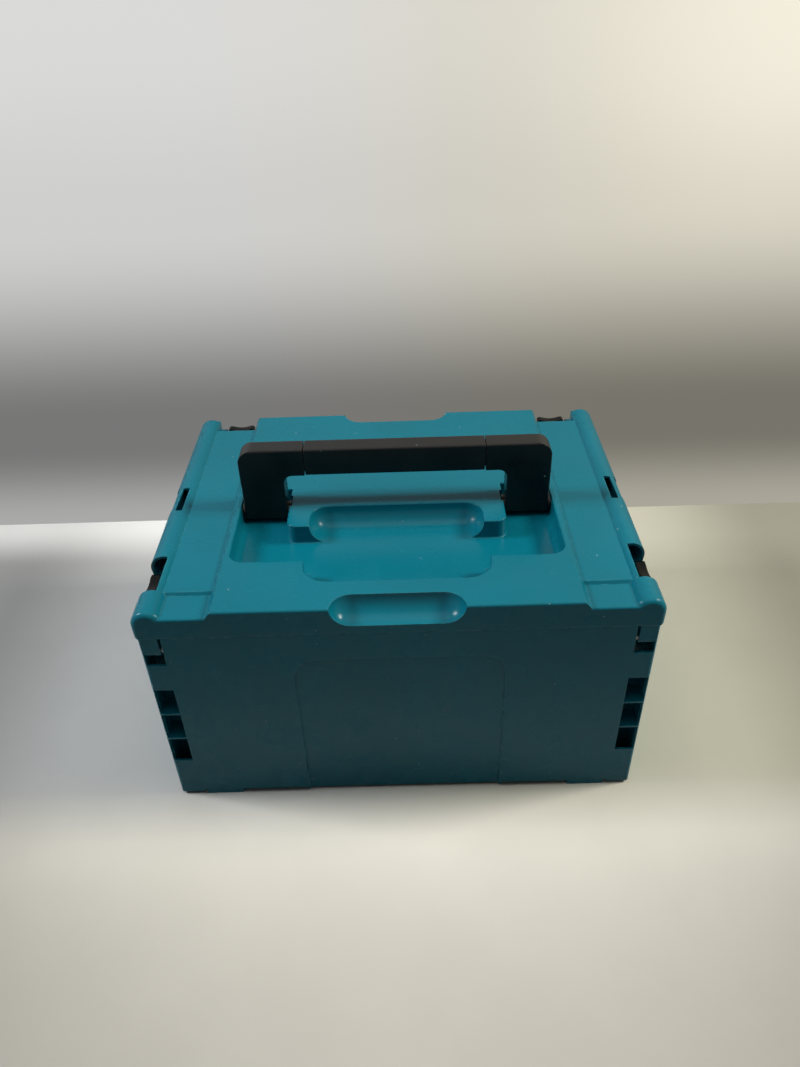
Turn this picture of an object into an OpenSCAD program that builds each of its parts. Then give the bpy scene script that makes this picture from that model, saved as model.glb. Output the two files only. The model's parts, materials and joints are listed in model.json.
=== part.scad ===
// Stacking hard tool case: moulded box and lid joined by a corner hinge, four
// pinned lever latches and a carry handle that folds flush into the lid.
// Millimetres. +X right, +Y to the front (latch side), +Z up.
// Origin: centre of the footprint, on the surface that the feet stand on.

/* [Case] */
// Overall width, over the two side rails
case_w = 395; // [370:1:420]
// Overall depth, rear face to front face of the lid
case_d = 295; // [280:1:320]
// Height of the parting line between box and lid
box_h = 186; // [170:1:260]
// Height of the lid above the parting line
lid_h = 24.5; // [23.5:0.5:30]
// Wall thickness of the box and the lid
wall = 2.2; // [1.8:0.1:2.6]
// Radius of the upright corners
corner_r = 3; // [1:0.5:5]
// Inset of the box's sides from the outside of the rails
side_inset = 2.3; // [1.8:0.1:3]
// Inset of the box's front and rear faces from the lid's
face_inset = 0.2; // [0.2:0.1:1]
// Gap between the rims of box and lid
rim_gap = 0.3; // [0.2:0.05:0.6]
// Thickness of the sealing lip inside the rim
lip_t = 1.4; // [1:0.1:2]
// Height of the sealing lip above the rim
lip_h = 2.6; // [1.5:0.1:3]
// Depth that the sealing lip's root reaches below the parting line
lip_root = 7.8; // [5:0.2:12]
// Gap between the sealing lip and the lid's skirt
lip_gap = 0.5; // [0.3:0.1:0.8]

/* [Base] */
// Thickness of the base plate
base_t = 2.7; // [2:0.1:4]
// Height of the base plate above the floor, the depth that the feet reach into a case below
foot_h = 3; // [2:0.1:3.1]
// Height of the box's lower edge above the base plate
sill_h = 2; // [1:0.1:3]
// Inset of the base plate from the box's faces
base_inset = 2; // [1:0.1:4]
// Distance of each foot's middle from the case's middle
foot_x = 157; // [150:0.5:160]
// Width of a foot
foot_w = 31; // [24:0.5:32]
// Distance that the feet stop short of the front face
foot_short = 24; // [22:1:60]

/* [Face panels] */
// Width of the sunk panel in the rear and front faces
panel_w = 164; // [120:1:200]
// Height of the sunk panel's top edge above the floor
panel_top = 160; // [120:1:165]
// Depth of the sunk panel
panel_depth = 1.8; // [0.8:0.1:2.5]
// Radius of the sunk panel's upper corners
panel_r = 21; // [10:1:30]

/* [Lid top] */
// Width of the raised middle of the lid
plateau_w = 274; // [270:1:278]
// Depth of the side channels below the raised middle
channel_depth = 3.2; // [3.1:0.1:4]
// Width of the slope between the raised middle and a side channel
plateau_slope = 2.5; // [1:0.1:3]
// Radius of the side rails
rail_r = 12; // [11:0.5:13]
// Radius of the lid's upright corners, and round the ends of the rails
rail_end_r = 4; // [2:0.5:6]
// Radius of the lid's long top edges at the front and the rear
lid_edge_r = 2; // [1:0.1:2.5]
// Radius of the raised middle's side edges and of the rims of its hollows
rim_r = 1.2; // [0.6:0.1:1.8]
// Inset of the skirts' upper part from the outside of the rails
skirt_inset = 1.2; // [0.6:0.1:1.6]
// Height of the skirts' lower edge, which is level with the box's sides
skirt_foot = 1; // [0.5:0.1:2]
// Thickness of the raised middle's walls, at its upper edges
middle_wall = 1.3; // [0.9:0.1:2]
// Depth of the rear patch below the side channel
patch_depth = 2.6; // [1:0.1:3.5]
// Length of the rear patch
patch_len = 28.5; // [20:0.5:40]
// Width of the slope at the front edge of the rear patch
patch_slope = 2; // [1:0.1:4]
// Radius of the round grip recesses in the lid's rear and front edges
scoop_r = 16.5; // [14:0.5:18]
// Length of the straight middle of a grip recess
scoop_len = 68; // [40:1:90]

/* [Handle well] */
// Depth of the well in the lid's top
well_depth = 17.5; // [17:0.1:18]
// Gap between the handle's legs and the well's sides
leg_gap = 2.7; // [1.6:0.1:3]
// Place of the well's rear edge
well_rear = -88.5; // [-92:0.5:-84]
// Distance from the handle's axis to the well's front edge
well_front = 19; // [12:0.5:24]
// Radius of the well's upright corners
well_r = 12; // [8:0.5:16]
// Radius between the well's walls and its floor
well_fillet = 6; // [3:0.5:7]
// Half the width of the well's rear bay
bay_x = 73.3; // [60:0.5:85]
// Place of the rear bay's rear edge
bay_rear = -114.6; // [-118:0.2:-108]
// Radius of the rear bay's upright corners
bay_r = 20; // [12:1:24]
// Gap between the island and the handle's legs
island_gap = 2; // [1:0.1:4]
// Least gap between the island's lobes and the bar as it folds past them
lobe_gap = 0.4; // [0.3:0.1:2]
// Radius of the lobes' outer corners
lobe_r = 8; // [4:0.5:12]
// Radius between the island's walls and the well's floor
island_fillet = 1.5; // [0.5:0.1:2]
// Half the width of the island's finger hollow
hollow_x = 72.5; // [60:0.5:80]
// Radius of the finger hollow, in plan and along its floor
hollow_r = 16; // [12:0.5:17]
// Place of the finger hollow's front edge
hollow_front = -14.4; // [-18:0.2:-12]

/* [Handle] */
// Width over the handle's legs
handle_w = 260; // [256:0.5:261]
// Thickness of the handle, which the well takes when it is folded
handle_t = 16.6; // [15:0.1:17]
// Width of a leg
leg_w = 36.5; // [30:0.5:40]
// Height of the bar's underside above the handle's axis
grip_clear = 39; // [36:0.5:42]
// Height of the bar
bar_h = 24.5; // [20:0.5:28]
// Radius of the handle's outer corners
handle_r = 13; // [8:0.5:18]
// Radius of the handle's inner corners
handle_inner_r = 7.5; // [4:0.5:12]
// Radius of the handle's long edges
handle_edge = 1.5; // [1:0.5:3]
// Radius of the round bosses on both sides of the legs, about the pins
boss_r = 7.5; // [6:0.5:7.5]
// Height of the bosses on the inner sides of the legs
boss_h = 3.2; // [1:0.1:4]
// Gap round the inner bosses, in the island's notches
boss_gap = 0.6; // [0.4:0.1:1.5]
// Gap between the outer bosses and the well's sides
shoulder_gap = 0.6; // [0.4:0.1:1]
// Place of the handle's axis, front to back
handle_y = -5.2; // [-8:0.1:-2]
// Length of the soft grip
grip_len = 151; // [120:1:165]
// Wall thickness of the soft grip
grip_t = 2.4; // [1.5:0.1:3]
// Gap between the soft grip and the bar
grip_gap = 0.1; // [0.05:0.05:0.3]
// Width of the groove at each end of the soft grip
grip_groove = 0.9; // [0.3:0.1:2]
// Radius of the handle's pins
handle_pin_r = 3; // [2:0.1:3.5]
// Length of a handle pin
handle_pin_len = 16; // [12:0.5:18]
// Depth of a handle pin's seat in the lid
handle_seat = 4.2; // [3:0.1:4.6]

/* [Lid hinge] */
// Distance of the hinge axis in front of the box's rear face
hinge_in = 5; // [4.6:0.1:6]
// Distance of the hinge axis below the parting line
hinge_down = 16; // [14:0.5:18]
// Radius of the hinge barrels on the lid
barrel_r = 4; // [3.5:0.1:4.4]
// Radius of the hinge pins
hinge_pin_r = 2; // [1.5:0.1:2.3]
// Width of a hinge tab
tab_w = 12.6; // [10:0.1:12.8]
// Distance of the hinge tab's lower edge below the parting line
tab_drop = 14.5; // [13:0.5:15]
// Gap beside the hinge tabs and round the hinge's arcs
hinge_gap = 0.35; // [0.25:0.05:0.6]
// Thickness of the ribs behind a hinge tab
tab_rib = 2.4; // [1.6:0.1:3]

/* [Corner columns] */
// Inside width of the hollow columns at the rear corners
column_w = 15.2; // [15:0.1:18]
// Inside depth of the columns, behind the rear wall
column_d = 17; // [12:0.5:24]
// Thickness of the case's side where the columns pass
column_skin = 2; // [1.5:0.1:2.2]
// Height of the lower windows' sill
window_low = 45; // [30:1:60]
// Height of the lower windows
window_h = 86; // [60:1:100]
// Reach of the windows into the case's sides
window_reach = 0.4; // [0.2:0.1:1]
// Number of cells in a lower window
window_cells = 3; // [2:1:5]
// Thickness of the ribs between a window's cells
window_rib = 1.5; // [1:0.1:3]
// Height of the opening that a hinge tab swings into
swing_h = 13.7; // [12:0.1:16]

/* [Rails] */
// Middle of the long slot in a rail, front to back
slot_y = 2.7; // [-5:0.1:10]
// Distance of the slot's middle outside the rail's middle
slot_out = 1; // [0:0.1:2]
// Length of the slot
slot_len = 34.5; // [24:0.5:40]
// Width of the slot
slot_w = 6; // [4:0.1:7]
// Depth of the hollow in a rail's outer side
nick_depth = 3.8; // [2:0.1:4.5]
// Front end of that hollow
nick_front = 25; // [20:0.5:30]
// Rear end of that hollow's flat
nick_rear = -7; // [-12:0.5:-2]
// Length of the ramp at that hollow's rear end
nick_ramp = 9; // [4:0.5:14]
// Radius of the dimple in the left rail's front end
gate_r = 2.2; // [1:0.1:3]
// Depth of that dimple
gate_depth = 0.5; // [0.2:0.1:0.8]
// Distance of that dimple from the front face
gate_in = 6.7; // [6:0.1:12]

/* [Latches] */
// Distance of the front latches from the middle
latch_x = 156.5; // [155:0.1:158]
// Distance of the side latches behind the middle
latch_back = 93.5; // [90:0.5:96]
// Width of a latch
latch_w = 26; // [22:0.5:28]
// Length of a latch, from its pin to its top
latch_len = 81; // [75:1:95]
// Thickness of a latch's plate
latch_t = 3.5; // [2.5:0.1:4]
// Radius of a latch's barrel
latch_barrel_r = 5; // [4:0.1:5.5]
// Radius of the latch pins
latch_pin_r = 1.5; // [1:0.1:2]
// Height of a latch's cheeks above its pin
cheek_h = 24; // [18:1:30]
// Thickness of a latch's hook
hook_t = 4; // [3.2:0.1:5]
// Depth of the dip in a latch's top
dip = 2.2; // [1:0.1:2.4]
// Radius of a latch's upper corners
latch_r = 3; // [2:0.1:4]
// Radius of a latch's upper outer edge
latch_edge = 1.4; // [0.6:0.1:2]
// Depth of the finger pad in a latch's outer face
pad_depth = 1; // [0.4:0.1:1.4]
// Half the length of the finger pad
pad_len = 15; // [10:0.5:24]
// Distance of the finger pad's middle above the latch's pin
pad_z = 36; // [30:0.5:50]
// Distance that a closed hook reaches over its ledge
hook_bite = 2.4; // [1.5:0.1:3]
// Gap between a closed hook and its ledge
hook_gap = 0.3; // [0.2:0.05:0.5]
// Gap between a closed latch and the ledge's face
latch_gap = 1.6; // [1.2:0.1:1.9]
// Angle at which the latches stand off the closed place
ajar = 2.5; // [2.2:0.1:3]
// Gap between a latch and its pocket's sides
pocket_gap = 2; // [1:0.1:3]
// Distance from a latch's pin to its pocket's sill
pocket_drop = 11; // [10:0.5:14]
// Distance of the front latches' top below the lid's top
front_hook_drop = 8.4; // [6.5:0.1:9]
// Distance of the side latches' top below the lid's top
side_hook_drop = 15; // [14:0.5:15.5]
// Distance of the front catch step behind the lid's front edge
step_back = 20.5; // [18:0.5:26]
// Length of the side rails' cut at the side latches
notch_len = 41; // [36:0.5:44]
// Width of the rail's strip left inside the cut
strip_w = 4.6; // [3:0.1:5]
// Height of the finger hollows beside a latch
finger_h = 26; // [18:1:32]
// Reach of the finger hollows beside a latch
finger_reach = 9; // [6:0.5:10]
// Depth of the finger hollows
finger_depth = 6.5; // [4:0.5:7]
// Radius of the finger hollows' corners
finger_r = 6; // [3:0.5:8]

/* [Hidden] */
$fn = 48;
running = 0.06;           // radial clearance of a pin that turns in its bore
seat = 0.02;              // radial clearance of a pin in its seat
over = 1;                 // how far a cut runs past the face that it opens
sliver = 0.01;            // overlap of pieces that would only touch
least_r = 0.5;            // radius left at an inner corner
end_play = 0.1;           // gap at each end of a pin
end_cover = 0.3;          // wall left over the ends of a pin's seat
barrel_gap = 0.6;         // room round a latch's barrel
arc_gap = 0.1;            // the lid's arc about the hinge stands this far off the rims

top = box_h + lid_h;
half_w = case_w / 2;
half_d = case_d / 2;
box_x = half_w - side_inset;
box_y = half_d - face_inset;
rim_z = box_h - rim_gap;
base_z = foot_h;
sill_z = foot_h + sill_h;
floor_z = foot_h + base_t;

panel_z = top - channel_depth;
patch_z = panel_z - patch_depth;
rail_x = half_w - rail_r;
rail_z = top - rail_r;
rail_inner = rail_x - sqrt(pow(rail_r, 2) - pow(rail_r - channel_depth, 2));
skirt_x = half_w - skirt_inset;
plateau_x = plateau_w / 2;

well_z = top - well_depth;
well_x = handle_w / 2 + leg_gap;
axis_y = handle_y;
handle_z = top - handle_t / 2;
bar_z = handle_z + grip_clear;
leg_in = handle_w / 2 - leg_w;
island_x = leg_in - island_gap;
lobe_y = axis_y - sqrt(pow(grip_clear - lobe_gap, 2) - pow(handle_t / 2, 2));
handle_pin_x = well_x + handle_seat - handle_pin_len;

hinge_y = -box_y + hinge_in;
hinge_z = box_h - hinge_down;
arc_lid = norm([hinge_in, hinge_down]) + arc_gap;
arc_box = arc_lid - hinge_gap;
column_x1 = box_x - column_skin;
column_x0 = column_x1 - column_w;
column_y = -box_y + wall + column_d;
tab_x1 = column_x1 - hinge_gap;
tab_x0 = tab_x1 - tab_w;
tab_z = box_h - tab_drop;

// A latch's own places, measured outwards and upwards from its pin
plate_out = latch_barrel_r;
plate_in = plate_out - latch_t;
ledge_face = plate_in - latch_gap;
hook_tip = ledge_face - hook_bite;
swing_out = latch_len * sin(ajar);
pin_in = plate_out + swing_out;          // from the outside of the case to a latch's pin

front_pin_y = half_d - pin_in;
front_pin_z = top - front_hook_drop - latch_len;
side_pin_x = half_w - pin_in;
side_pin_z = top - side_hook_drop - latch_len;
front_ledge_z = front_pin_z + latch_len - hook_t - hook_gap;
side_ledge_z = side_pin_z + latch_len - hook_t - hook_gap;
pocket_w = latch_w + 2 * pocket_gap;
latch_pin_len = pocket_w + 2 * (wall - end_cover);
rail_floor = side_ledge_z - wall;
strip_x = rail_inner + strip_w;

// ---- helpers ----

// Run a profile drawn in X and Z along Y
module along_y(y0, y1) {
    translate([0, y1, 0]) rotate([90, 0, 0]) linear_extrude(y1 - y0) children();
}

// Run a profile drawn in Y and Z along X
module along_x(x0, x1) {
    translate([x0, 0, 0]) rotate([90, 0, 90]) linear_extrude(x1 - x0) children();
}

// Raise a plan drawn in X and Y from z0 to z1
module upright(z0, z1) {
    translate([0, 0, z0]) linear_extrude(z1 - z0) children();
}

module block(x0, x1, y0, y1, z0, z1) {
    translate([x0, y0, z0]) cube([x1 - x0, y1 - y0, z1 - z0]);
}

// Rectangle between two corners
module rect(x0, x1, y0, y1) {
    translate([x0, y0]) square([x1 - x0, y1 - y0]);
}

// Rectangle with four round corners
module round_rect(x0, x1, y0, y1, r) {
    rect(x0 + r, x1 - r, y0, y1);
    rect(x0, x1, y0 + r, y1 - r);
    for (x = [x0 + r, x1 - r], y = [y0 + r, y1 - r])
        translate([x, y]) circle(r);
}

// The same shape on the left and on the right
module both_sides() {
    children();
    mirror([1, 0, 0]) children();
}

// Hollow with round upright corners, a round edge along its floor and a round rim
module pan(x0, x1, y0, y1, z0, z1, r, fillet) {
    block(x0 + r, x1 - r, y0 + r, y1 - r, z0, z1 + over);
    for (x = [[x0 + r, -1], [x1 - r, 1]])
        along_y(y0 + r, y1 - r) translate([x[0], 0]) scale([x[1], 1]) pan_edge(z0, z1, r, fillet);
    for (y = [[y0 + r, -1], [y1 - r, 1]])
        along_x(x0 + r, x1 - r) translate([y[0], 0]) scale([y[1], 1]) pan_edge(z0, z1, r, fillet);
    for (c = [[x1 - r, y1 - r, 0], [x0 + r, y1 - r, 90], [x0 + r, y0 + r, 180], [x1 - r, y0 + r, 270]])
        translate([c[0], c[1], 0]) rotate([0, 0, c[2]])
            rotate_extrude(angle = 90) pan_edge(z0, z1, r, fillet);
}

// Section of a pan's edge: a wall r away, rounded into the floor and over the rim
module pan_edge(z0, z1, r, fillet) {
    intersection() {
        union() {
            rect(0, r, z0 + fillet, z1 + over);
            if (r > fillet) rect(0, r - fillet, z0, z1);
            translate([r - fillet, z0 + fillet]) circle(fillet);
        }
        rect(0, r, z0, z1 + over);
    }
    difference() {
        rect(0, r + rim_r, z1 - rim_r, z1 + over);
        translate([r + rim_r, z1 - rim_r]) circle(rim_r);
    }
}

// ---- box ----

// Outline of the box in plan, drawn in by g
module box_plan(g) {
    round_rect(g - box_x, box_x - g, g - box_y, box_y - g, max(corner_r - g, least_r));
}

// A latch's pocket in its own frame: pin at the origin, outwards is +Y.
// grow adds the wall round it.
module latch_pocket(out, rim, grow) {
    w = pocket_w / 2 + grow;
    floor_low = -latch_barrel_r - barrel_gap - grow;
    floor_high = ledge_face - grow;
    block(-w, w, floor_low, out, -pocket_drop - grow, cheek_h + over + grow);
    block(-w, w, floor_high, out, cheek_h, rim);
    finger_z = (cheek_h + rim) / 2;
    along_y(out - finger_depth - grow, out)
        round_rect(-w - finger_reach, w + finger_reach,
            finger_z - finger_h / 2 - grow, finger_z + finger_h / 2 + grow, finger_r + grow);
}

// Put children at the four latches: front ones at angle 0, side ones turned out
module at_front_latches() {
    both_sides() translate([latch_x, front_pin_y, front_pin_z]) children();
}

module at_side_latches() {
    both_sides() translate([side_pin_x, -latch_back, side_pin_z]) rotate([0, 0, -90]) children();
}

module latch_pockets(grow, beyond) {
    at_front_latches()
        latch_pocket(box_y - front_pin_y + beyond, rim_z - front_pin_z + beyond, grow);
    at_side_latches()
        latch_pocket(box_x - side_pin_x + beyond, rim_z - side_pin_z + beyond, grow);
}

// Sunk panels in the rear and the front face, open at the lower edge
module face_panels(grow, depth) {
    for (side = [-1, 1]) scale([1, side, 1])
        along_y(box_y - depth, box_y + (grow > 0 ? 0 : over))
            round_rect(-panel_w / 2 - grow, panel_w / 2 + grow,
                -panel_r * 2, panel_top + grow, panel_r + grow);
}

module lip() {
    x = box_x - wall - lip_gap;
    y = box_y - wall - lip_gap;
    low = box_h - lip_root;
    difference() {
        union() {
            upright(low, box_h + lip_h) rect(-x, x, column_y + wall, y);
            upright(low, rim_z) rect(-box_x + wall, box_x - wall, column_y + wall, box_y - wall);
        }
        upright(low - over, box_h + lip_h + over)
            rect(lip_t - x, x - lip_t, column_y, y - lip_t);
        at_front_latches() block(-pocket_w / 2 - wall - over, pocket_w / 2 + wall + over,
            -half_d, half_d, 0, top);
        at_side_latches() block(-pocket_w / 2 - wall - over, pocket_w / 2 + wall + over,
            -half_d / 2, half_d, 0, top);
    }
}

// Hollow column at a rear corner, with the hinge's room at its top
module column_cuts() {
    back = -box_y;
    block(column_x0, column_x1, back + wall, column_y, floor_z, top);
    // swing room of the hinge tab, open through the rear wall
    block(column_x0, column_x1, back - over, back + wall + over, tab_z - swing_h, top);
}

module column_windows() {
    pitch = (window_h + window_rib) / window_cells;
    for (i = [0 : window_cells - 1])
        block(column_x0, column_x1 + window_reach, -box_y - over, -box_y + wall + over,
            window_low + i * pitch, window_low + (i + 1) * pitch - window_rib);
}

module column_ribs() {
    pitch = (window_h + window_rib) / window_cells;
    for (i = [1 : window_cells - 1])
        block(column_x0, column_x1, -box_y, column_y,
            window_low + i * pitch - window_rib, window_low + i * pitch);
}

// The two long feet, or with an inset the hollows inside them
module feet(inset, low, high) {
    both_sides() block(foot_x - foot_w / 2 + inset, foot_x + foot_w / 2 - inset,
        -box_y + inset, half_d - foot_short - inset, low, high);
}

module box_shell() color("teal") difference() {
    union() {
        difference() {
            union() {
                upright(sill_z, box_h + over) box_plan(0);
                upright(base_z, sill_z + over) box_plan(base_inset);
            }
            upright(floor_z, box_h + 2 * over) box_plan(wall);
        }
        intersection() {
            upright(base_z, rim_z) box_plan(0);
            union() {
                face_panels(wall, wall + panel_depth);
                latch_pockets(wall, 0);
                both_sides()
                    block(column_x0 - wall, box_x, -box_y, column_y + wall, base_z, rim_z);
            }
        }
        lip();
        feet(0, 0, sill_z);
    }
    feet(wall, wall, floor_z + over);
    face_panels(0, panel_depth);
    latch_pockets(0, over);
    both_sides() difference() {
        union() {
            column_cuts();
            column_windows();
        }
        column_ribs();
    }
    // rim: flat all round, and rounded about the hinge axis at the rear
    difference() {
        block(-half_w, half_w, -half_d, column_y, rim_z, box_h + 2 * over);
        along_x(-half_w, half_w) translate([hinge_y, hinge_z]) circle(arc_box);
    }
    block(-half_w, half_w, column_y - over, column_y + wall, rim_z, box_h + 2 * over);
    difference() {
        upright(rim_z, box_h + 2 * over) box_plan(-over);
        upright(rim_z - over, box_h + 3 * over)
            rect(-box_x + wall + lip_gap, box_x - wall - lip_gap,
                -half_d - 2 * over, box_y - wall - lip_gap);
        block(-half_w, half_w, -half_d, column_y + wall, 0, top);
    }
    // seats of the hinge pins and the latch pins
    both_sides() along_x(column_x0 - wall + end_cover, box_x - end_cover)
        translate([hinge_y, hinge_z]) circle(hinge_pin_r + seat);
    at_front_latches() latch_pin_seat();
    at_side_latches() latch_pin_seat();
}

module latch_pin_seat() {
    along_x(-latch_pin_len / 2, latch_pin_len / 2) circle(latch_pin_r + seat);
}

// ---- lid ----

// Section of the lid between the rails: raised middle and side channels
module middle_section() {
    slope = atan2(channel_depth, plateau_slope);
    t = rim_r * tan(slope / 2);
    both_sides() {
        rect(-sliver, rail_x, box_h, panel_z);
        polygon([[-sliver, box_h], [plateau_x + plateau_slope, box_h],
            [plateau_x + plateau_slope, panel_z],
            [plateau_x + t * cos(slope), top - t * sin(slope)],
            [plateau_x - t, top], [-sliver, top]]);
        translate([plateau_x - t, top - rim_r]) circle(rim_r);
    }
}

// Section of the skirt below a rail
module skirt_section() {
    polygon([[rail_x - sliver, box_h], [box_x, box_h], [box_x, box_h + skirt_foot],
        [skirt_x, box_h + skirt_foot], [half_w, rail_z], [rail_x - sliver, rail_z]]);
}

// Section of the rail's upper half and its length, about the rail's middle line
module rail_profile() {
    rect(0, rail_r - rail_end_r, -half_d, half_d);
    rect(0, rail_r, rail_end_r - half_d, half_d - rail_end_r);
    for (side = [-1, 1]) translate([rail_r - rail_end_r, side * (half_d - rail_end_r)])
        circle(rail_end_r);
}

// The lid's outside, before its hollows are cut
module lid_outside() {
    difference() {
        intersection() {
            along_y(-half_d, half_d) middle_section();
            along_x(-rail_x, rail_x) {
                rect(-half_d, half_d, box_h, top - lid_edge_r);
                rect(lid_edge_r - half_d, half_d - lid_edge_r, box_h, top);
                for (side = [-1, 1])
                    translate([side * (half_d - lid_edge_r), top - lid_edge_r]) circle(lid_edge_r);
            }
        }
        both_sides() rear_patch();
    }
    both_sides() {
        intersection() {
            along_y(-half_d, half_d) skirt_section();
            upright(box_h - over, top)
                round_rect(-half_w, half_w, -half_d, half_d, rail_end_r);
        }
        translate([rail_x, 0, rail_z]) rotate([90, 0, 0])
            rotate_extrude(angle = 180) rail_profile();
    }
}

// Lowered place at the rear end of a channel, on the plateau's slope and rounded to the rear
module rear_patch() {
    y = patch_len - half_d;
    foot = plateau_x + plateau_slope * (channel_depth + patch_depth) / channel_depth;
    intersection() {
        along_x(plateau_x, rail_x + over) {
            polygon([[-half_d - over, patch_z], [y - patch_slope, patch_z],
                [y, panel_z], [y, top], [-half_d - over, top]]);
            difference() {
                rect(-half_d - over, lid_edge_r - half_d, patch_z - lid_edge_r, top);
                translate([lid_edge_r - half_d, patch_z - lid_edge_r]) circle(lid_edge_r);
            }
        }
        along_y(-half_d - over, y + over)
            polygon([[foot, patch_z], [plateau_x + plateau_slope, panel_z],
                [rail_x + over, panel_z], [rail_x + over, patch_z - 2 * lid_edge_r],
                [foot, patch_z - 2 * lid_edge_r]]);
    }
}

// Section of the lid's main hollow; low is how far its side parts lie below the channels
module hollow_section(low) {
    ceiling = panel_z - wall - low;
    middle = plateau_x - middle_wall;
    rect(-rail_inner, rail_inner, box_h - over, ceiling);
    rect(-middle, middle, box_h, top - wall);
    rect(wall - box_x, box_x - wall, box_h - over, rail_floor);
}

// Section of the tube inside each rail
module rail_tube() {
    for (side = [-1, 1]) scale([side, 1]) intersection() {
        union() {
            translate([rail_x, rail_z]) circle(rail_r - wall);
            rect(rail_inner + wall, skirt_x - wall, side_ledge_z, rail_z);
        }
        rect(rail_inner + wall, half_w, side_ledge_z, top);
    }
}

// Section of the island's edge: a wall r away, rounded at its top and its foot
module island_edge(r) {
    f = min(island_fillet, island_gap);
    rect(0, r, 0, top - rim_r);
    rect(0, r - rim_r, 0, top + 2 * over);
    translate([r - rim_r, top - rim_r]) circle(rim_r);
    difference() {
        rect(0, r + f, 0, well_z + f);
        translate([r + f, well_z + f]) circle(f);
    }
}

// Island that the handle's legs stand beside
module island() {
    x = island_x - lobe_r;
    y = lobe_y + lobe_r;
    block(-x, x, y, half_d, 0, top + 2 * over);
    both_sides() {
        along_y(y, half_d) translate([x, 0]) island_edge(lobe_r);
        translate([x, y, 0]) rotate([0, 0, 270]) rotate_extrude(angle = 90) island_edge(lobe_r);
    }
    along_x(-x, x) translate([y, 0]) scale([-1, 1]) island_edge(lobe_r);
}

// The handle's well: main pan less the island, rear bay, finger hollow and leg room
module well() {
    difference() {
        pan(-well_x, well_x, well_rear, axis_y + well_front, well_z, top, well_r, well_fillet);
        island();
    }
    pan(-bay_x, bay_x, bay_rear, lobe_y - rim_r - over, well_z, top, bay_r, well_fillet);
    pan(-hollow_x, hollow_x, lobe_y - 2 * well_depth, hollow_front, well_z, top,
        hollow_r, hollow_r);
    both_sides() {
        // square-cornered room for the legs' round ends
        block(leg_in, well_x - sliver, axis_y - handle_t / 2 - island_gap,
            axis_y + well_front - well_fillet, well_z, top);
        // notch in the island's side for the leg's inner boss
        block(leg_in - boss_h - boss_gap, leg_in + sliver, axis_y - boss_r - boss_gap,
            axis_y + boss_r + boss_gap, well_z, top + over);
    }
}

// Solid that keeps the well's walls and floor when the lid is hollowed
module well_walls() {
    upright(well_z - wall, top) {
        round_rect(-well_x - wall, well_x + wall, well_rear - wall,
            axis_y + well_front + wall, well_r + wall);
        round_rect(-bay_x - wall, bay_x + wall, bay_rear - wall, lobe_y, bay_r + wall);
    }
}

// Round grip recesses in the rear and front edges
module scoops(grow) {
    for (side = [-1, 1]) translate([0, side * half_d, top]) {
        along_x(-scoop_len / 2, scoop_len / 2) circle(scoop_r + grow);
        for (x = [-scoop_len / 2, scoop_len / 2]) translate([x, 0, 0]) sphere(scoop_r + grow);
    }
}

// Catch steps at the front ends of the channels
module catch_steps() {
    both_sides() block(plateau_x + plateau_slope, rail_inner,
        half_d - step_back, half_d + over, front_ledge_z, top);
}

// Rail details: long slot, outer hollow and the cut for the side latch
module rail_cuts() {
    both_sides() {
        block(rail_x + slot_out - slot_w / 2, rail_x + slot_out + slot_w / 2,
            slot_y - slot_len / 2, slot_y + slot_len / 2, rail_z, top + over);
        upright(rail_floor, top + over)
            polygon([[half_w + over, nick_front], [half_w - nick_depth, nick_front],
                [half_w - nick_depth, nick_rear], [half_w, nick_rear - nick_ramp],
                [half_w + over, nick_rear - nick_ramp]]);
        block(strip_x, half_w + over, -latch_back - pocket_w / 2 - (notch_len - pocket_w),
            -latch_back + pocket_w / 2, side_ledge_z, top + over);
    }
}

// Dimple that the moulding gate leaves in the left rail's front end
module gate_mark() {
    translate([-rail_x, half_d - gate_in, top + gate_r - gate_depth]) sphere(gate_r);
}

// Room in front of the lid's catches for the latches' plates
module catch_cuts() {
    at_front_latches() block(-pocket_w / 2, pocket_w / 2, ledge_face, pin_in + over,
        0, latch_len + over);
    at_side_latches() block(-pocket_w / 2, pocket_w / 2, ledge_face, pin_in + over,
        0, latch_len + over);
}

// Walls left round the catches' room
module catch_walls() {
    w = pocket_w / 2 + wall;
    at_front_latches() block(-w, w, ledge_face - wall, box_y - front_pin_y,
        box_h - front_pin_z, front_ledge_z - front_pin_z);
    at_side_latches() block(-w, w, ledge_face - wall, box_x - side_pin_x,
        box_h - side_pin_z, side_ledge_z - side_pin_z);
}

// Hinge tab: face plate, two ribs and the barrel round the hinge pin
module hinge_tab() {
    back = -box_y;
    difference() {
        union() {
            along_x(tab_x0, tab_x1) {
                rect(back, back + tab_rib, tab_z, box_h + wall);
                translate([hinge_y, hinge_z]) circle(barrel_r);
            }
            for (x = [tab_x0, tab_x1 - tab_rib]) along_x(x, x + tab_rib) {
                rect(back, hinge_y + barrel_r, hinge_z, rail_floor + sliver);
                rect(back, hinge_y, tab_z, hinge_z + barrel_r);
            }
        }
        along_x(tab_x0 - over, tab_x1 + over)
            translate([hinge_y, hinge_z]) circle(hinge_pin_r + running);
    }
}

module lid_hollow() {
    inner = half_d - wall;
    patch_end = patch_len - half_d;
    step_start = half_d - step_back;
    along_y(-inner, patch_end + wall) hollow_section(patch_depth);
    along_y(patch_end, step_start - wall) hollow_section(0);
    along_y(step_start - wall, inner) hollow_section(panel_z - front_ledge_z);
    along_y(-inner, inner) rail_tube();
}

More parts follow.
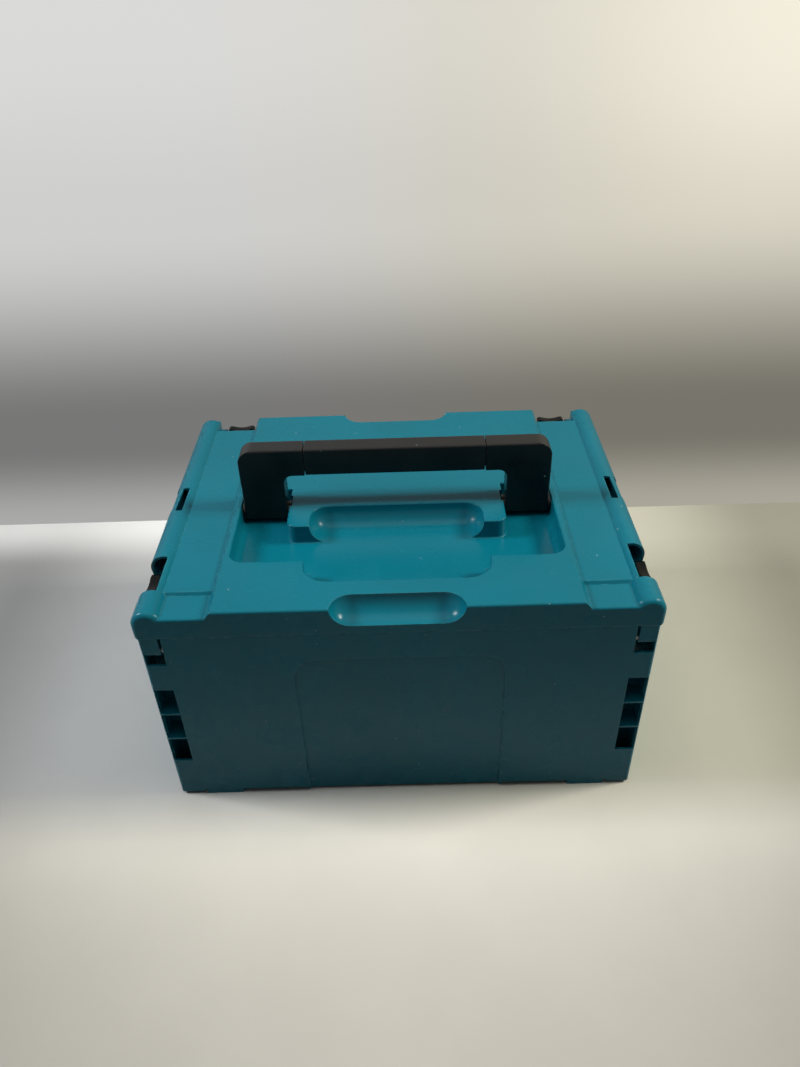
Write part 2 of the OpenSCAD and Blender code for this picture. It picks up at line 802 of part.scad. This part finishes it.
module lid_shell() color("teal") {
    difference() {
        union() {
            difference() {
                lid_outside();
                difference() {
                    lid_hollow();
                    well_walls();
                    scoops(wall);
                    catch_walls();
                    both_sides() upright(rail_floor, top)
                        rect(half_w - nick_depth - wall, half_w,
                            nick_rear - nick_ramp, nick_front + wall);
                    handle_bosses();
                }
                along_x(-half_w - over, half_w + over)
                    translate([hinge_y, hinge_z]) circle(arc_lid);
            }
            both_sides() hinge_tab();
        }
        well();
        scoops(0);
        catch_steps();
        gate_mark();
        rail_cuts();
        catch_cuts();
        both_sides() along_x(handle_pin_x, well_x + handle_seat)
            translate([axis_y, handle_z]) circle(handle_pin_r + seat);
    }
}

// Bosses behind the well's walls that hold the handle's pins
module handle_bosses() {
    both_sides() along_x(well_x, plateau_x + plateau_slope / 2)
        translate([axis_y, handle_z]) circle(handle_pin_r + wall);
}

// ---- handle ----

// Front outline of the handle, standing up
module handle_outline() {
    difference() {
        union() {
            round_rect(-handle_w / 2, handle_w / 2, handle_z, bar_z + bar_h, handle_r);
            rect(-handle_w / 2, handle_w / 2, handle_z - handle_t, bar_z);
        }
        round_rect(-leg_in, leg_in, handle_z - 2 * handle_t, bar_z, handle_inner_r);
    }
}

// Side outline of the handle: round foot about the axis, round long edges
module handle_side() {
    t = handle_t / 2;
    round_rect(axis_y - t, axis_y + t, handle_z, bar_z + bar_h, handle_edge);
    rect(axis_y - t, axis_y + t, handle_z, bar_z);
    translate([axis_y, handle_z]) circle(t);
}

// Section of the bar, drawn in by g
module bar_section(g) {
    round_rect(axis_y - handle_t / 2 + g, axis_y + handle_t / 2 - g,
        bar_z + g, bar_z + bar_h - g, handle_edge);
}

module handle_frame() color("black") difference() {
    union() {
        handle_body();
        both_sides() along_x(leg_in - boss_h, handle_w / 2 + leg_gap - shoulder_gap)
            translate([axis_y, handle_z]) circle(boss_r);
    }
    // waist that the grip is moulded round
    difference() {
        block(-grip_len / 2, grip_len / 2, -half_d, half_d, bar_z - over, bar_z + bar_h + over);
        along_x(-grip_len, grip_len) bar_section(grip_t + grip_gap);
    }
    both_sides() along_x(handle_pin_x - over, half_w)
        translate([axis_y, handle_z]) circle(handle_pin_r + running);
}

// Legs and bar in one piece
module handle_body() {
    intersection() {
        along_y(axis_y - handle_t / 2, axis_y + handle_t / 2) handle_outline();
        along_x(-handle_w / 2, handle_w / 2) handle_side();
        upright(0, bar_z + bar_h) round_rect(-handle_w / 2, handle_w / 2,
            axis_y - handle_t / 2, axis_y + handle_t / 2, handle_edge);
    }
}

module handle_grip() color("black") difference() {
    along_x(grip_groove - grip_len / 2, grip_len / 2 - grip_groove) bar_section(0);
    along_x(-grip_len, grip_len) bar_section(grip_t);
}

module handle_pin(side) {
    color("dimgray") scale([side, 1, 1]) along_x(handle_pin_x, well_x + handle_seat - end_play)
        translate([axis_y, handle_z]) circle(handle_pin_r);
}

module hinge_pin(side) {
    color("silver") scale([side, 1, 1]) along_x(column_x0 - wall + end_cover + end_play,
        box_x - end_cover - end_play) translate([hinge_y, hinge_z]) circle(hinge_pin_r);
}

// ---- latches ----

// Front view of a latch: round upper corners with a dip between them
module latch_outline() {
    span = latch_w / 2 - latch_r;
    r = (pow(span, 2) + pow(dip, 2)) / (2 * dip);
    difference() {
        round_rect(-latch_w / 2, latch_w / 2, -latch_len, latch_len, latch_r);
        translate([0, latch_len + r - dip]) circle(r);
    }
}

// A latch in its own frame, closed: pin at the origin, outwards +Y, up +Z
module latch_lever() {
    w = latch_w / 2;
    pad_r = (pow(pad_len, 2) + pow(pad_depth, 2)) / (2 * pad_depth);
    difference() {
        intersection() {
            union() {
                along_x(-w, w) {
                    circle(latch_barrel_r);
                    rect(plate_in, plate_out, 0, latch_len - latch_edge);
                    rect(hook_tip, plate_out - latch_edge, latch_len - hook_t, latch_len);
                    translate([plate_out - latch_edge, latch_len - latch_edge])
                        circle(latch_edge);
                }
                for (x = [-w, w - wall]) along_x(x, x + wall)
                    polygon([[-latch_barrel_r, 0], [plate_in + latch_t / 2, 0],
                        [plate_in + latch_t / 2, cheek_h], [plate_in, cheek_h],
                        [-latch_barrel_r, latch_barrel_r]]);
            }
            along_y(-latch_len, latch_len) latch_outline();
        }
        along_x(-w - over, w + over) circle(latch_pin_r + running);
        along_x(-w + wall, w - wall)
            translate([plate_out + pad_r - pad_depth, pad_z]) circle(pad_r, $fn = 4 * $fn);
    }
}

module latch_front(side) color([0.05, 0.05, 0.05])
    translate([side * latch_x, front_pin_y, front_pin_z]) rotate([-ajar, 0, 0]) latch_lever();

module latch_side(side) color([0.05, 0.05, 0.05])
    translate([side * side_pin_x, -latch_back, side_pin_z])
        rotate([0, 0, -90 * side]) rotate([-ajar, 0, 0]) latch_lever();

module latch_pin() color("silver")
    along_x(end_play - latch_pin_len / 2, latch_pin_len / 2 - end_play) circle(latch_pin_r);

module latch_pin_front(side)
    translate([side * latch_x, front_pin_y, front_pin_z]) latch_pin();

module latch_pin_side(side)
    translate([side * side_pin_x, -latch_back, side_pin_z]) rotate([0, 0, 90]) latch_pin();

box_shell();
lid_shell();
handle_frame();
handle_grip();
handle_pin(-1);  // handle_pin_left
handle_pin(1);  // handle_pin_right
hinge_pin(-1);  // hinge_pin_left
hinge_pin(1);  // hinge_pin_right
latch_front(-1);  // latch_front_left
latch_front(1);  // latch_front_right
latch_side(-1);  // latch_side_left
latch_side(1);  // latch_side_right
latch_pin_front(-1);  // latch_pin_front_left
latch_pin_front(1);  // latch_pin_front_right
latch_pin_side(-1);  // latch_pin_side_left
latch_pin_side(1);  // latch_pin_side_right
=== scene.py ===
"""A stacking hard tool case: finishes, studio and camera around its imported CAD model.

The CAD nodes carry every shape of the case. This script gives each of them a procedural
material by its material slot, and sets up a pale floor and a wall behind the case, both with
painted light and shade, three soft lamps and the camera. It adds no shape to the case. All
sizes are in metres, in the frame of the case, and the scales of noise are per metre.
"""
import json
import math

import bpy
from mathutils import Matrix, Vector


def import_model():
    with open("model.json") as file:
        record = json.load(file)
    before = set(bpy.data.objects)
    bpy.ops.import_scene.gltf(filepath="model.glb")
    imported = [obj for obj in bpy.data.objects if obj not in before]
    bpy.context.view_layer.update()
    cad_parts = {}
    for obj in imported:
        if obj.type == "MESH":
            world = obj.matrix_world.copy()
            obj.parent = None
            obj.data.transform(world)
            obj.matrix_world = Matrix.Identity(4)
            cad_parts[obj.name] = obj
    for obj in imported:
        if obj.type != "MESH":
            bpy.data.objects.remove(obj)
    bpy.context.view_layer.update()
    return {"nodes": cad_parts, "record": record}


MM = 0.001

# ---- camera, as fitted to the photographed case ----
CAMERA_PLACE = Vector((0.0090, -0.5978, 0.6112))
CAMERA_PITCH = 36.53      # degrees below the horizon
CAMERA_YAW = 0.66         # degrees to the left
CAMERA_ROLL = 2.03        # degrees clockwise
CAMERA_LENS = 27.95       # millimetres
CAMERA_SENSOR = 36        # millimetres along the picture's long side

# ---- floor, with painted light and shade ----
FLOOR_HALF = 4.0
FLOOR_FADES = (0.65, 1.9)       # distances over which the floor runs out into the backdrop
FLOOR_ROUGHNESS = 0.6
FLOOR_SHINE = 0.1
# The floor's colour paints light and shade: a lit area in front of the case, shade beside and
# behind it, and a brighter strip by the wall on the left.
LIT_EDGE = (-0.115, -0.195)     # Y over which the floor's painted shade turns into its painted light
LIT_BY_CASE, LIT_FAR_OUT = 0.92, 0.56   # brightness of the painted light by the case and far out
LIT_FADE = 0.09                 # distance over which the lit floor loses most of that
SIDE_FADE = 3.2                 # loss of brightness by the square of the distance to the side
SIDE_LEAST = 0.6                # share of the brightness that this leaves at least
SHADE_LEFT, SHADE_RIGHT = 0.61, 0.64    # brightness of the painted shade on either side
SHADE_SIDES = (0.27, 0.46)      # distances to the side over which the shade deepens
SHADE_DEEP = 0.55               # share of the brightness that is left there
MIDDLE_BLEND = (-0.1, 0.1)      # X over which the floor's left side turns into its right one
WALL_FOOT = (0.18, 0.26)        # Y over which painted light brightens the floor to the wall, on the left
FOOT_GLOW = 0.42
FIBRE_SCALE, FIBRE_RANGE = 9, (0.35, 0.65)
FIBRE_SHADES = (0.985, 1.015)

# ---- wall, with its light and shade painted into its glow ----
WALL_Y = 0.27                   # the wall stands close behind the case
WALL_HEIGHT = 1.2
WALL_HALF_WIDTH = 1.5
WALL_DARK = 0.185               # brightness of the wall's painted dark band of shade
WALL_FOOT_MORE, WALL_FOOT_TOP = 0.215, 0.11     # more than that at the foot, up to this height
WALL_RISE_MORE, WALL_RISE = 0.435, (0.15, 0.37) # more than that above the band, and its heights
WALL_TOP_MORE, WALL_TOP = 0.08, (0.37, 0.55)    # more again further up
GLOW_HEIGHTS = (0.25, 0.50)     # heights over which painted light makes the wall's right side glow
GLOW_SIDE = (0.05, 0.40)        # X over which it does
GLOW_MORE = 0.30
TINT_SIDE = (-0.25, 0.28)       # X over which the wall's painted light turns from cool to warm

# ---- lamps: place, size of the square, watts and tint ----
LAMP_AIM = (0, 0, 0.2)
LAMPS = {
    "left": ((-1.5, 0.02, 1.35), 0.42, 20.5, (0.95, 0.98, 1)),
    "right": ((1.5, 0.02, 1.35), 0.42, 24.5, (1, 0.975, 0.87)),
    "top": ((0, -0.05, 1.6), 1.3, 5, (1, 1, 1)),
}
BACKDROP = (0.60, 0.59, 0.56)
FILL = (0.93, 0.96, 1.0)        # light from all round, in the shadows
FILL_LEVEL = 0.06

# ---- colours, linear ----
TEAL = (0.002, 0.175, 0.242)
BLACK = (0.0016, 0.0017, 0.0020)
GRIP_BLACK = (0.0018, 0.0018, 0.0021)
LATCH_BLACK = (0.0012, 0.0012, 0.0014)
STEEL = (0.55, 0.55, 0.56)
DUST = (0.40, 0.50, 0.52)
# tints of the floor's painted light and of its painted shade on the left and right
PAINTED_LIT_TINT = (1.05, 1.0, 0.90)
PAINTED_SHADE_TINT_LEFT = (1.01, 1.0, 0.98)
PAINTED_SHADE_TINT_RIGHT = (1.04, 1.0, 0.82)
FLOOR_BOUNCE = (0.18, 0.18, 0.18)
# tints of the wall's painted light, cool on the left and warm on the right
PAINTED_WARM_LIGHT = (1.0, 0.95, 0.80)
PAINTED_COOL_LIGHT = (1.0, 1.0, 0.99)
# lighter edge colours: partly wear, partly a painted highlight along the rims
SHELL_WEAR_AND_HIGHLIGHT = (0.06, 0.30, 0.37)
BLACK_WEAR_AND_HIGHLIGHT = (0.045, 0.042, 0.040)
LATCH_WEAR_AND_HIGHLIGHT = (0.02, 0.021, 0.022)

# ---- moulded plastic ----
BEVEL_SAMPLES = 6
EDGE_RADIUS = 0.6 * MM
SHELL_EDGE_RADIUS = 0.8 * MM
EDGE_TURN = (0.998, 0.92)       # cosine of the rounding at which an edge counts, none to all
WEAR_AND_HIGHLIGHT_REACH = 2                  # reach of the edge wear and painted highlight, in radii of the edge
# patches and strength of the edge wear and painted highlight
WEAR_AND_HIGHLIGHT_SCALE, WEAR_AND_HIGHLIGHT_RANGE, WEAR_AND_HIGHLIGHT_MOST = 140, (0.36, 0.60), 0.6
MOTTLE_SCALE, MOTTLE_DARK, MOTTLE_LIGHT = 9, 0.94, 1.05
SCUFF_SCALE, SCUFF_STRETCH = 260, (0.15, 1, 1)
SCUFF_RANGE, SCUFF_MOST = (0.70, 0.78), 0.35
DUST_DENSITY, DUST_RADIUS, DUST_MOST = 55, 0.8 * MM, 0.8
GLOSS_SCALE, GLOSS_LESS, GLOSS_MORE = 35, 0.04, 0.05
WORN_ROUGHER = 0.15
PLASTIC_IOR = 1.5
GRAIN_SCALE = 2400
NOISE_MIDDLE = (0.3, 0.7)       # range in which most of a noise lies

# ---- drawn steel ----
LINE_SCALE, LINE_STRETCH, LINE_DEPTH = 1800, (0.03, 1, 1), 0.01 * MM
LINE_RANGE, LINE_DARK = (0.35, 0.65), 0.85
STEEL_ROUGHNESS = (0.26, 0.4)


# ---- node helpers ----

class Nodes:
    """Short calls for building one material's node tree."""

    def __init__(self, name):
        self.material = bpy.data.materials.new(name)
        self.material.use_nodes = True
        self.tree = self.material.node_tree
        self.shader = self.tree.nodes["Principled BSDF"]
        self.place = self.add("ShaderNodeTexCoord").outputs["Object"]

    def add(self, kind, **settings):
        node = self.tree.nodes.new(kind)
        for key, value in settings.items():
            setattr(node, key, value)
        return node

    def link(self, source, target):
        self.tree.links.new(source, target)

    def feed(self, socket, value):
        """Link an output to a socket, or set the socket to a number or colour."""
        if isinstance(value, bpy.types.NodeSocket):
            self.link(value, socket)
        else:
            socket.default_value = value

    def noise(self, scale, detail=2.0, roughness=0.5, stretch=(1, 1, 1)):
        mapping = self.add("ShaderNodeMapping")
        mapping.inputs["Scale"].default_value = stretch
        self.link(self.place, mapping.inputs["Vector"])
        node = self.add("ShaderNodeTexNoise")
        self.link(mapping.outputs["Vector"], node.inputs["Vector"])
        node.inputs["Scale"].default_value = scale
        node.inputs["Detail"].default_value = detail
        node.inputs["Roughness"].default_value = roughness
        return node.outputs["Fac"]

    def ramp(self, value, low, high, to_low=0.0, to_high=1.0):
        """Map low..high of a value to to_low..to_high, smoothly and clamped."""
        node = self.add("ShaderNodeMapRange", interpolation_type="SMOOTHSTEP")
        self.feed(node.inputs["Value"], value)
        node.inputs["From Min"].default_value = low
        node.inputs["From Max"].default_value = high
        node.inputs["To Min"].default_value = to_low
        node.inputs["To Max"].default_value = to_high
        return node.outputs["Result"]

    def maths(self, operation, a, b=0.0):
        node = self.add("ShaderNodeMath", operation=operation)
        self.feed(node.inputs[0], a)
        self.feed(node.inputs[1], b)
        return node.outputs["Value"]

    def mix(self, factor, a, b):
        node = self.add("ShaderNodeMix", data_type="RGBA")
        self.feed(node.inputs["Factor"], factor)
        self.feed(node.inputs[6], a if isinstance(a, bpy.types.NodeSocket) else (*a, 1))
        self.feed(node.inputs[7], b if isinstance(b, bpy.types.NodeSocket) else (*b, 1))
        return node.outputs[2]

    def scaled(self, colour, level):
        node = self.add("ShaderNodeVectorMath", operation="SCALE")
        self.link(colour, node.inputs[0])
        self.feed(node.inputs["Scale"], level)
        return node.outputs["Vector"]

    def specks(self, density, radius):
        """1 on sparse round dots of about a radius, 0 between them."""
        cells = self.add("ShaderNodeTexVoronoi")
        self.link(self.place, cells.inputs["Vector"])
        cells.inputs["Scale"].default_value = density
        reach = radius * density
        return self.ramp(cells.outputs["Distance"], reach, reach / 2)

    def edge_mask(self, normal):
        """1 on the outer and inner edges that a bevel normal rounds, 0 on the faces."""
        geometry = self.add("ShaderNodeNewGeometry")
        dot = self.add("ShaderNodeVectorMath", operation="DOT_PRODUCT")
        self.link(normal, dot.inputs[0])
        self.link(geometry.outputs["Normal"], dot.inputs[1])
        return self.ramp(dot.outputs["Value"], *EDGE_TURN)

    def rounded(self, radius):
        """Normal with every sharp edge rounded off by a small radius."""
        bevel = self.add("ShaderNodeBevel", samples=BEVEL_SAMPLES)
        bevel.inputs["Radius"].default_value = radius
        return bevel.outputs["Normal"]

    def bump(self, height, distance, normal=None):
        node = self.add("ShaderNodeBump")
        node.inputs["Distance"].default_value = distance
        node.inputs["Strength"].default_value = 1.0
        self.link(height, node.inputs["Height"])
        if normal is not None:
            self.link(normal, node.inputs["Normal"])
        return node.outputs["Normal"]


# ---- materials ----

def moulded(name, colour, wear_and_highlight, gloss, grain, shine, edge=EDGE_RADIUS):
    """Injection-moulded plastic: fine spark-eroded grain, faint flow mottling, and scuffed edges
    lightened partly by wear and partly by a painted highlight.
    """
    n = Nodes(name)
    smooth = n.rounded(edge)
    # lighter outer and inner edges: partly wear, partly a painted highlight
    edges = n.maths("MULTIPLY", n.edge_mask(n.rounded(WEAR_AND_HIGHLIGHT_REACH * edge)),
                    n.ramp(n.noise(WEAR_AND_HIGHLIGHT_SCALE, 4), *WEAR_AND_HIGHLIGHT_RANGE))
    mottle = n.ramp(n.noise(MOTTLE_SCALE, 3), *NOISE_MIDDLE)
    body = n.mix(mottle, [c * MOTTLE_DARK for c in colour], [c * MOTTLE_LIGHT for c in colour])
    scuffs = n.ramp(n.noise(SCUFF_SCALE, 3, stretch=SCUFF_STRETCH), *SCUFF_RANGE, 0.0, SCUFF_MOST)
    # real scuffs, and the edges' wear with its painted highlight
    scuffs_wear_and_highlight = n.maths("MAXIMUM", n.maths("MULTIPLY", edges, WEAR_AND_HIGHLIGHT_MOST), scuffs)
    dust = n.maths("MULTIPLY", n.specks(DUST_DENSITY, DUST_RADIUS), DUST_MOST)
    n.link(n.mix(dust, n.mix(scuffs_wear_and_highlight, body, wear_and_highlight), DUST), n.shader.inputs["Base Color"])
    rough = n.ramp(n.noise(GLOSS_SCALE, 4), *NOISE_MIDDLE, gloss - GLOSS_LESS, gloss + GLOSS_MORE)
    n.link(n.maths("ADD", rough, n.maths("MULTIPLY", scuffs_wear_and_highlight, WORN_ROUGHER)),
           n.shader.inputs["Roughness"])
    n.shader.inputs["IOR"].default_value = PLASTIC_IOR
    n.shader.inputs["Specular IOR Level"].default_value = shine
    fine = n.noise(GRAIN_SCALE, 2, 0.6)
    n.link(n.bump(fine, grain, normal=smooth), n.shader.inputs["Normal"])
    return n.material


def shell_plastic():
    return moulded("shell_plastic", TEAL, SHELL_WEAR_AND_HIGHLIGHT, gloss=0.25, grain=0.015 * MM, shine=0.18,
                   edge=SHELL_EDGE_RADIUS)


def handle_plastic():
    return moulded("handle_plastic", BLACK, BLACK_WEAR_AND_HIGHLIGHT, gloss=0.28, grain=0.015 * MM, shine=0.35)


def latch_plastic():
    return moulded("latch_plastic", LATCH_BLACK, LATCH_WEAR_AND_HIGHLIGHT, gloss=0.20, grain=0.010 * MM,
                   shine=0.16)


def grip_rubber():
    return moulded("grip_rubber", GRIP_BLACK, BLACK_WEAR_AND_HIGHLIGHT, gloss=0.32, grain=0.022 * MM, shine=0.35)


def pin_steel():
    """Drawn steel with fine lines along the pin."""
    n = Nodes("pin_steel")
    lines = n.noise(LINE_SCALE, 3, stretch=LINE_STRETCH)
    n.shader.inputs["Metallic"].default_value = 1.0
    n.link(n.mix(n.ramp(lines, *LINE_RANGE), [c * LINE_DARK for c in STEEL], STEEL),
           n.shader.inputs["Base Color"])
    n.link(n.ramp(lines, *NOISE_MIDDLE, *STEEL_ROUGHNESS), n.shader.inputs["Roughness"])
    n.link(n.bump(lines, LINE_DEPTH), n.shader.inputs["Normal"])
    return n.material


FINISHES = {"shell_plastic": shell_plastic, "handle_plastic": handle_plastic,
            "grip_rubber": grip_rubber, "latch_plastic": latch_plastic, "pin_steel": pin_steel}


def finish_nodes(frame):
    """Give every CAD node the finish of its material slot."""
    materials = {slot: make() for slot, make in FINISHES.items()}
    for part in frame["record"]["subparts"]:
        for slot in frame["nodes"][part["node"]].material_slots:
            slot.material = materials[part["material_slot"]]


# ---- studio and camera ----

def plane(name, corners, material):
    """A flat stage piece through four corners, with its normal by their order."""
    mesh = bpy.data.meshes.new(name)
    mesh.from_pydata(corners, [], [(0, 1, 2, 3)])
    mesh.materials.append(material)
    piece = bpy.data.objects.new(name, mesh)
    bpy.context.collection.objects.link(piece)


def seen_ray(n):
    """1 for the rays that show a backdrop: camera, glossy and transmission rays."""
    rays = n.add("ShaderNodeLightPath").outputs
    seen = n.maths("MAXIMUM", rays["Is Camera Ray"], rays["Is Glossy Ray"])
    return n.maths("MAXIMUM", seen, rays["Is Transmission Ray"])


def floor():
    """Pale floor that keeps the case's shadow, with light painted in front of the case and shade
    painted beside and behind it.
    """
    n = Nodes("floor_paper")
    split = n.add("ShaderNodeSeparateXYZ")
    n.link(n.place, split.inputs[0])
    x, y = split.outputs["X"], split.outputs["Y"]
    out = n.maths("ABSOLUTE", x)
    # painted light and shade of the floor, from here to the tint
    lit = n.ramp(y, *LIT_EDGE)
    right = n.ramp(x, *MIDDLE_BLEND)
    fade = n.maths("EXPONENT", n.maths("DIVIDE", n.maths("SUBTRACT", y, LIT_EDGE[1]), LIT_FADE))
    fade = n.maths("MULTIPLY", n.maths("MINIMUM", fade, 1.0), LIT_BY_CASE - LIT_FAR_OUT)
    aside = n.maths("MULTIPLY", n.maths("POWER", out, 2.0), SIDE_FADE)
    front = n.maths("MULTIPLY", n.maths("ADD", fade, LIT_FAR_OUT),
                    n.maths("MAXIMUM", n.maths("SUBTRACT", 1.0, aside), SIDE_LEAST))
    shade = n.maths("ADD", SHADE_LEFT, n.maths("MULTIPLY", right, SHADE_RIGHT - SHADE_LEFT))
    back = n.maths("MULTIPLY", shade, n.ramp(out, *SHADE_SIDES, 1.0, SHADE_DEEP))
    foot = n.maths("MULTIPLY", n.ramp(y, *WALL_FOOT), n.maths("SUBTRACT", 1.0, right))
    back = n.maths("ADD", back, n.maths("MULTIPLY", foot, FOOT_GLOW))
    level = n.maths("ADD", back, n.maths("MULTIPLY", lit, n.maths("SUBTRACT", front, back)))
    # tint of the painted light and shade, warmer on the right
    tint = n.mix(lit, n.mix(right, PAINTED_SHADE_TINT_LEFT, PAINTED_SHADE_TINT_RIGHT), PAINTED_LIT_TINT)
    fibres = n.ramp(n.noise(FIBRE_SCALE, 5, 0.6), *FIBRE_RANGE, *FIBRE_SHADES)
    # the paper's colour, with the painted light and shade in it
    paper = n.scaled(tint, n.maths("MULTIPLY", level, fibres))
    seen = seen_ray(n)
    n.link(n.mix(seen, FLOOR_BOUNCE, paper), n.shader.inputs["Base Color"])
    n.shader.inputs["Roughness"].default_value = FLOOR_ROUGHNESS
    n.shader.inputs["Specular IOR Level"].default_value = FLOOR_SHINE
    # far away the floor runs out into the backdrop
    away = n.add("ShaderNodeVectorMath", operation="LENGTH")
    n.link(n.place, away.inputs[0])
    far = n.add("ShaderNodeEmission")
    far.inputs["Color"].default_value = (*BACKDROP, 1)
    either = n.add("ShaderNodeMixShader")
    n.link(n.maths("MULTIPLY", seen, n.ramp(away.outputs["Value"], *FLOOR_FADES)),
           either.inputs[0])
    n.link(n.shader.outputs[0], either.inputs[1])
    n.link(far.outputs[0], either.inputs[2])
    n.link(either.outputs[0], n.tree.nodes["Material Output"].inputs["Surface"])
    h = FLOOR_HALF
    plane("floor", [(-h, -h, 0), (h, -h, 0), (h, h, 0), (-h, h, 0)], n.material)


def wall():
    """Backdrop close behind the case: a wall with light and shade painted into its glow, seen but
    casting no light or shadow.
    """
    n = Nodes("wall_paper")
    split = n.add("ShaderNodeSeparateXYZ")
    n.link(n.place, split.inputs[0])
    x, z = split.outputs["X"], split.outputs["Z"]
    # painted shade and light of the wall: a dark band, a brighter foot and top, a glow on the
    # right
    foot = n.ramp(z, 0.0, WALL_FOOT_TOP, WALL_FOOT_MORE, 0.0)
    rise = n.ramp(z, *WALL_RISE, 0.0, WALL_RISE_MORE)
    upper = n.ramp(z, *WALL_TOP, 0.0, WALL_TOP_MORE)
    level = n.maths("ADD", n.maths("ADD", foot, WALL_DARK), n.maths("ADD", rise, upper))
    high = n.ramp(z, *GLOW_HEIGHTS)
    right = n.ramp(x, *GLOW_SIDE)
    glow = n.maths("ADD", 1.0, n.maths("MULTIPLY", n.maths("MULTIPLY", high, right), GLOW_MORE))
    tint = n.mix(n.ramp(x, *TINT_SIDE), PAINTED_COOL_LIGHT, PAINTED_WARM_LIGHT)
    n.tree.nodes.remove(n.shader)
    emission = n.add("ShaderNodeEmission")
    n.link(n.scaled(tint, level), emission.inputs["Color"])
    n.link(glow, emission.inputs["Strength"])
    clear = n.add("ShaderNodeBsdfTransparent")
    front = n.maths("SUBTRACT", 1.0, n.add("ShaderNodeNewGeometry").outputs["Backfacing"])
    either = n.add("ShaderNodeMixShader")
    n.link(n.maths("MULTIPLY", front, seen_ray(n)), either.inputs[0])
    n.link(clear.outputs[0], either.inputs[1])
    n.link(emission.outputs[0], either.inputs[2])
    n.link(either.outputs[0], n.tree.nodes["Material Output"].inputs["Surface"])
    w, y, h = WALL_HALF_WIDTH, WALL_Y, WALL_HEIGHT
    plane("wall", [(-w, y, 0), (w, y, 0), (w, y, h), (-w, y, h)], n.material)


def surroundings():
    """Low even light for the object, with a pale backdrop for the rays that see it."""
    world = bpy.data.worlds.new("studio")
    world.use_nodes = True
    tree = world.node_tree
    background = tree.nodes["Background"]
    background.inputs["Color"].default_value = (*FILL, 1)
    background.inputs["Strength"].default_value = FILL_LEVEL
    backdrop = tree.nodes.new("ShaderNodeBackground")
    backdrop.inputs["Color"].default_value = (*BACKDROP, 1)
    rays = tree.nodes.new("ShaderNodeLightPath").outputs
    seen = rays["Is Camera Ray"]
    for name in ("Is Glossy Ray", "Is Transmission Ray"):
        either = tree.nodes.new("ShaderNodeMath")
        either.operation = "MAXIMUM"
        tree.links.new(seen, either.inputs[0])
        tree.links.new(rays[name], either.inputs[1])
        seen = either.outputs[0]
    mix = tree.nodes.new("ShaderNodeMixShader")
    tree.links.new(seen, mix.inputs[0])
    tree.links.new(background.outputs[0], mix.inputs[1])
    tree.links.new(backdrop.outputs[0], mix.inputs[2])
    tree.links.new(mix.outputs[0], tree.nodes["World Output"].inputs["Surface"])
    bpy.context.scene.world = world


def area_light(name, place, size, power, tint):
    """A square lamp that faces the case."""
    data = bpy.data.lights.new(name, "AREA")
    data.shape = "RECTANGLE"
    data.size = data.size_y = size
    data.energy = power
    data.color = tint
    light = bpy.data.objects.new(name, data)
    light.location = place
    light.rotation_euler = (Vector(LAMP_AIM) - Vector(place)).to_track_quat("-Z", "Y").to_euler()
    bpy.context.collection.objects.link(light)


def studio():
    floor()
    wall()
    surroundings()
    for name, lamp in LAMPS.items():
        area_light(name, *lamp)


def camera():
    data = bpy.data.cameras.new("camera")
    data.lens = CAMERA_LENS
    data.sensor_width = CAMERA_SENSOR
    cam = bpy.data.objects.new("camera", data)
    bpy.context.collection.objects.link(cam)
    turn = (Matrix.Rotation(math.radians(CAMERA_YAW), 4, "Z")
            @ Matrix.Rotation(math.radians(-CAMERA_PITCH), 4, "X")
            @ Matrix.Rotation(math.radians(CAMERA_ROLL), 4, "Y")
            @ Matrix.Rotation(math.pi / 2, 4, "X"))
    cam.matrix_world = Matrix.Translation(CAMERA_PLACE) @ turn
    bpy.context.scene.camera = cam


def main():
    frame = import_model()
    bpy.context.scene.view_settings.view_transform = "Standard"
    camera()
    studio()
    finish_nodes(frame)


main()
